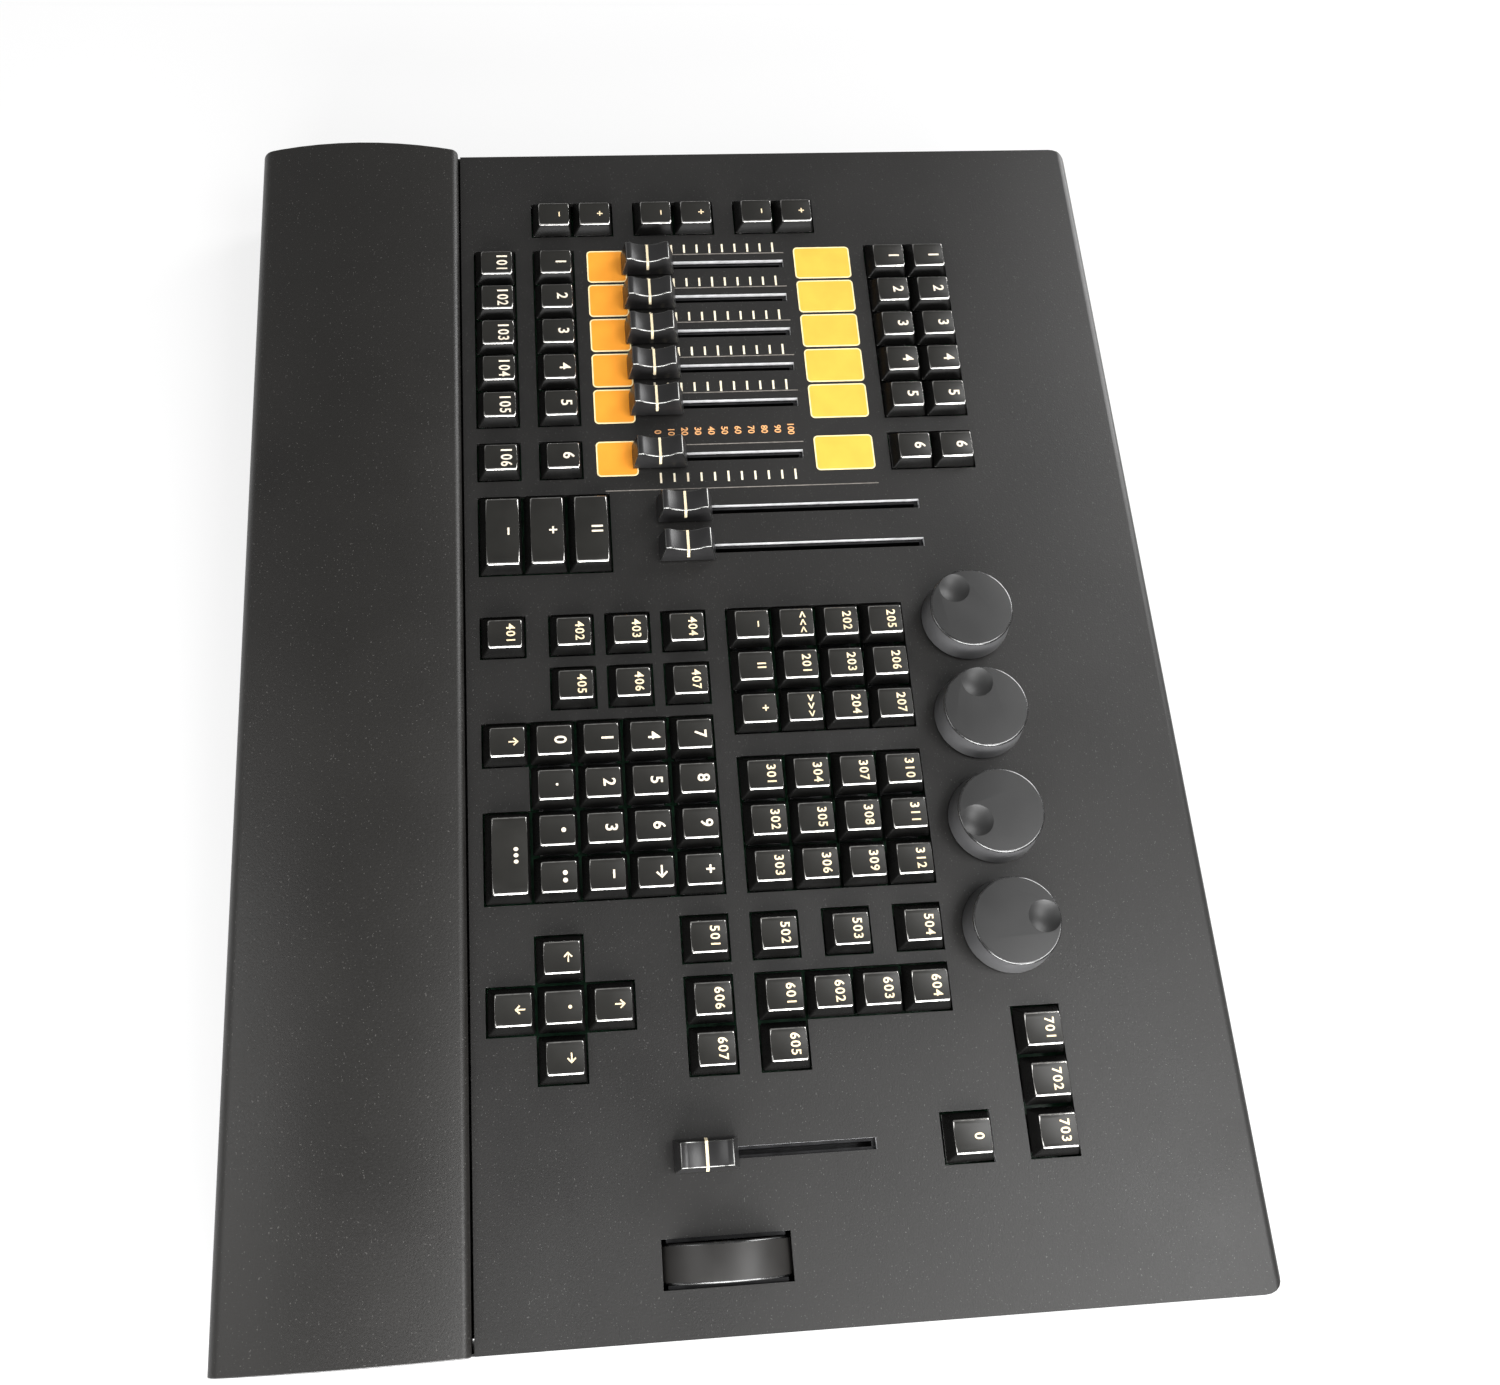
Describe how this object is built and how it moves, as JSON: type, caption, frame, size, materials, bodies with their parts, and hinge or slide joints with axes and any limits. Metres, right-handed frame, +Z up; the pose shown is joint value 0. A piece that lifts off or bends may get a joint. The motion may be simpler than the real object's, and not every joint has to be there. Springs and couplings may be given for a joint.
{
  "type": "lighting control console",
  "caption": "Desk-top stage lighting console with a sloping deck of square keys, slide faders, dimpled rotary encoders and a level wheel behind an arched palm rest.",
  "frame": {"origin": "centre of the bounding box on the plane that the feet stand on", "axes": "+X to the user's right along the rows of keys, +Y to the rear, +Z up"},
  "size_m": [0.529, 0.393, 0.0907],
  "materials": {
    "coat": "fine textured powder coat",
    "palm": "fine textured powder coat",
    "key": "semi-gloss",
    "cap": "satin",
    "knob": "satin",
    "rubber": "matt",
    "board": "solder mask",
    "zinc": "zinc plated",
    "socket": "satin"
  },
  "bodies": {
    "console": {"executor_key_board": "key", "command_key_board": "key", "tools_key_board": "key", "executor_fader_bank": "zinc", "crossfader_bank": "zinc", "master_fader_track": "zinc", "encoder_board": "board", "wheel_bracket": "zinc", "top_case": "coat", "palm_rest": "palm", "base_tray": "coat", "foot_front_left": "rubber", "foot_front_right": "rubber", "foot_rear_left": "rubber", "foot_rear_right": "rubber", "dmx_socket_1": "socket", "dmx_socket_2": "socket", "usb_socket": "zinc", "power_inlet": "socket", "main_board": "board", "power_supply": "board"},
    "executor_fader_1": {"executor_fader_1": "cap"},
    "executor_fader_2": {"executor_fader_2": "cap"},
    "executor_fader_3": {"executor_fader_3": "cap"},
    "executor_fader_4": {"executor_fader_4": "cap"},
    "executor_fader_5": {"executor_fader_5": "cap"},
    "executor_fader_6": {"executor_fader_6": "cap"},
    "crossfader_1": {"crossfader_1": "cap"},
    "crossfader_2": {"crossfader_2": "cap"},
    "master_fader": {"master_fader": "cap"},
    "encoder_knob_1": {"encoder_knob_1": "knob"},
    "encoder_knob_2": {"encoder_knob_2": "knob"},
    "encoder_knob_3": {"encoder_knob_3": "knob"},
    "encoder_knob_4": {"encoder_knob_4": "knob"},
    "level_wheel": {"level_wheel": "knob"},
    "power_rocker": {"power_rocker": "key"},
    "key_go_minus": {"key_go_minus": "key"},
    "key_go_plus": {"key_go_plus": "key"},
    "key_pause": {"key_pause": "key"},
    "key_0": {"key_0": "key"},
    "key_point": {"key_point": "key"},
    "key_if": {"key_if": "key"},
    "key_at": {"key_at": "key"},
    "key_1": {"key_1": "key"},
    "key_2": {"key_2": "key"},
    "key_3": {"key_3": "key"},
    "key_minus": {"key_minus": "key"},
    "key_4": {"key_4": "key"},
    "key_5": {"key_5": "key"},
    "key_6": {"key_6": "key"},
    "key_through": {"key_through": "key"},
    "key_7": {"key_7": "key"},
    "key_8": {"key_8": "key"},
    "key_9": {"key_9": "key"},
    "key_plus": {"key_plus": "key"},
    "key_shift": {"key_shift": "key"},
    "key_enter": {"key_enter": "key"},
    "key_store": {"key_store": "key"},
    "key_clear": {"key_clear": "key"},
    "key_blackout": {"key_blackout": "key"}
  },
  "joints": [
    {"name": "executor_fader_1_slide", "type": "slide", "parent": "console", "child": "executor_fader_1", "axis": [0, 0.9945, 0.1045], "range_m": [0, 0.06]},
    {"name": "executor_fader_2_slide", "type": "slide", "parent": "console", "child": "executor_fader_2", "axis": [0, 0.9945, 0.1045], "range_m": [0, 0.06]},
    {"name": "executor_fader_3_slide", "type": "slide", "parent": "console", "child": "executor_fader_3", "axis": [0, 0.9945, 0.1045], "range_m": [0, 0.06]},
    {"name": "executor_fader_4_slide", "type": "slide", "parent": "console", "child": "executor_fader_4", "axis": [0, 0.9945, 0.1045], "range_m": [0, 0.06]},
    {"name": "executor_fader_5_slide", "type": "slide", "parent": "console", "child": "executor_fader_5", "axis": [0, 0.9945, 0.1045], "range_m": [0, 0.06]},
    {"name": "executor_fader_6_slide", "type": "slide", "parent": "console", "child": "executor_fader_6", "axis": [0, 0.9945, 0.1045], "range_m": [0, 0.06]},
    {"name": "crossfader_1_slide", "type": "slide", "parent": "console", "child": "crossfader_1", "axis": [0, 0.9945, 0.1045], "range_m": [0, 0.1]},
    {"name": "crossfader_2_slide", "type": "slide", "parent": "console", "child": "crossfader_2", "axis": [0, 0.9945, 0.1045], "range_m": [0, 0.1]},
    {"name": "master_fader_slide", "type": "slide", "parent": "console", "child": "master_fader", "axis": [0, 0.9945, 0.1045], "range_m": [0, 0.06]},
    {"name": "encoder_knob_1_turn", "type": "hinge", "parent": "console", "child": "encoder_knob_1", "pos_m": [-0.01167, 0.10651, 0.07623], "axis": [0, -0.1045, 0.9945], "continuous": true},
    {"name": "encoder_knob_2_turn", "type": "hinge", "parent": "console", "child": "encoder_knob_2", "pos_m": [0.03302, 0.10651, 0.07623], "axis": [0, -0.1045, 0.9945], "continuous": true},
    {"name": "encoder_knob_3_turn", "type": "hinge", "parent": "console", "child": "encoder_knob_3", "pos_m": [0.07773, 0.10651, 0.07623], "axis": [0, -0.1045, 0.9945], "continuous": true},
    {"name": "encoder_knob_4_turn", "type": "hinge", "parent": "console", "child": "encoder_knob_4", "pos_m": [0.12243, 0.10651, 0.07623], "axis": [0, -0.1045, 0.9945], "continuous": true},
    {"name": "level_wheel_turn", "type": "hinge", "parent": "console", "child": "level_wheel", "pos_m": [0.23892, -0.01194, 0.04468], "axis": [1, 0, 0], "continuous": true},
    {"name": "power_rocker_tilt", "type": "hinge", "parent": "console", "child": "power_rocker", "pos_m": [-0.14272, 0.19004, 0.04519], "axis": [-1, 0, 0], "range_deg": [0, 20]},
    {"name": "key_go_minus_press", "type": "slide", "parent": "console", "child": "key_go_minus", "axis": [0, 0.1045, -0.9945], "range_m": [0, 0.0035], "stiffness_N_per_m": 150, "springref_m": -0.002},
    {"name": "key_go_plus_press", "type": "slide", "parent": "console", "child": "key_go_plus", "axis": [0, 0.1045, -0.9945], "range_m": [0, 0.0035], "stiffness_N_per_m": 150, "springref_m": -0.002},
    {"name": "key_pause_press", "type": "slide", "parent": "console", "child": "key_pause", "axis": [0, 0.1045, -0.9945], "range_m": [0, 0.0035], "stiffness_N_per_m": 150, "springref_m": -0.002},
    {"name": "key_0_press", "type": "slide", "parent": "console", "child": "key_0", "axis": [0, 0.1045, -0.9945], "range_m": [0, 0.0035], "stiffness_N_per_m": 150, "springref_m": -0.002},
    {"name": "key_point_press", "type": "slide", "parent": "console", "child": "key_point", "axis": [0, 0.1045, -0.9945], "range_m": [0, 0.0035], "stiffness_N_per_m": 150, "springref_m": -0.002},
    {"name": "key_if_press", "type": "slide", "parent": "console", "child": "key_if", "axis": [0, 0.1045, -0.9945], "range_m": [0, 0.0035], "stiffness_N_per_m": 150, "springref_m": -0.002},
    {"name": "key_at_press", "type": "slide", "parent": "console", "child": "key_at", "axis": [0, 0.1045, -0.9945], "range_m": [0, 0.0035], "stiffness_N_per_m": 150, "springref_m": -0.002},
    {"name": "key_1_press", "type": "slide", "parent": "console", "child": "key_1", "axis": [0, 0.1045, -0.9945], "range_m": [0, 0.0035], "stiffness_N_per_m": 150, "springref_m": -0.002},
    {"name": "key_2_press", "type": "slide", "parent": "console", "child": "key_2", "axis": [0, 0.1045, -0.9945], "range_m": [0, 0.0035], "stiffness_N_per_m": 150, "springref_m": -0.002},
    {"name": "key_3_press", "type": "slide", "parent": "console", "child": "key_3", "axis": [0, 0.1045, -0.9945], "range_m": [0, 0.0035], "stiffness_N_per_m": 150, "springref_m": -0.002},
    {"name": "key_minus_press", "type": "slide", "parent": "console", "child": "key_minus", "axis": [0, 0.1045, -0.9945], "range_m": [0, 0.0035], "stiffness_N_per_m": 150, "springref_m": -0.002},
    {"name": "key_4_press", "type": "slide", "parent": "console", "child": "key_4", "axis": [0, 0.1045, -0.9945], "range_m": [0, 0.0035], "stiffness_N_per_m": 150, "springref_m": -0.002},
    {"name": "key_5_press", "type": "slide", "parent": "console", "child": "key_5", "axis": [0, 0.1045, -0.9945], "range_m": [0, 0.0035], "stiffness_N_per_m": 150, "springref_m": -0.002},
    {"name": "key_6_press", "type": "slide", "parent": "console", "child": "key_6", "axis": [0, 0.1045, -0.9945], "range_m": [0, 0.0035], "stiffness_N_per_m": 150, "springref_m": -0.002},
    {"name": "key_through_press", "type": "slide", "parent": "console", "child": "key_through", "axis": [0, 0.1045, -0.9945], "range_m": [0, 0.0035], "stiffness_N_per_m": 150, "springref_m": -0.002},
    {"name": "key_7_press", "type": "slide", "parent": "console", "child": "key_7", "axis": [0, 0.1045, -0.9945], "range_m": [0, 0.0035], "stiffness_N_per_m": 150, "springref_m": -0.002},
    {"name": "key_8_press", "type": "slide", "parent": "console", "child": "key_8", "axis": [0, 0.1045, -0.9945], "range_m": [0, 0.0035], "stiffness_N_per_m": 150, "springref_m": -0.002},
    {"name": "key_9_press", "type": "slide", "parent": "console", "child": "key_9", "axis": [0, 0.1045, -0.9945], "range_m": [0, 0.0035], "stiffness_N_per_m": 150, "springref_m": -0.002},
    {"name": "key_plus_press", "type": "slide", "parent": "console", "child": "key_plus", "axis": [0, 0.1045, -0.9945], "range_m": [0, 0.0035], "stiffness_N_per_m": 150, "springref_m": -0.002},
    {"name": "key_shift_press", "type": "slide", "parent": "console", "child": "key_shift", "axis": [0, 0.1045, -0.9945], "range_m": [0, 0.0035], "stiffness_N_per_m": 150, "springref_m": -0.002},
    {"name": "key_enter_press", "type": "slide", "parent": "console", "child": "key_enter", "axis": [0, 0.1045, -0.9945], "range_m": [0, 0.0035], "stiffness_N_per_m": 150, "springref_m": -0.002},
    {"name": "key_store_press", "type": "slide", "parent": "console", "child": "key_store", "axis": [0, 0.1045, -0.9945], "range_m": [0, 0.0035], "stiffness_N_per_m": 150, "springref_m": -0.002},
    {"name": "key_clear_press", "type": "slide", "parent": "console", "child": "key_clear", "axis": [0, 0.1045, -0.9945], "range_m": [0, 0.0035], "stiffness_N_per_m": 150, "springref_m": -0.002},
    {"name": "key_blackout_press", "type": "slide", "parent": "console", "child": "key_blackout", "axis": [0, 0.1045, -0.9945], "range_m": [0, 0.0035], "stiffness_N_per_m": 150, "springref_m": -0.002}
  ]
}
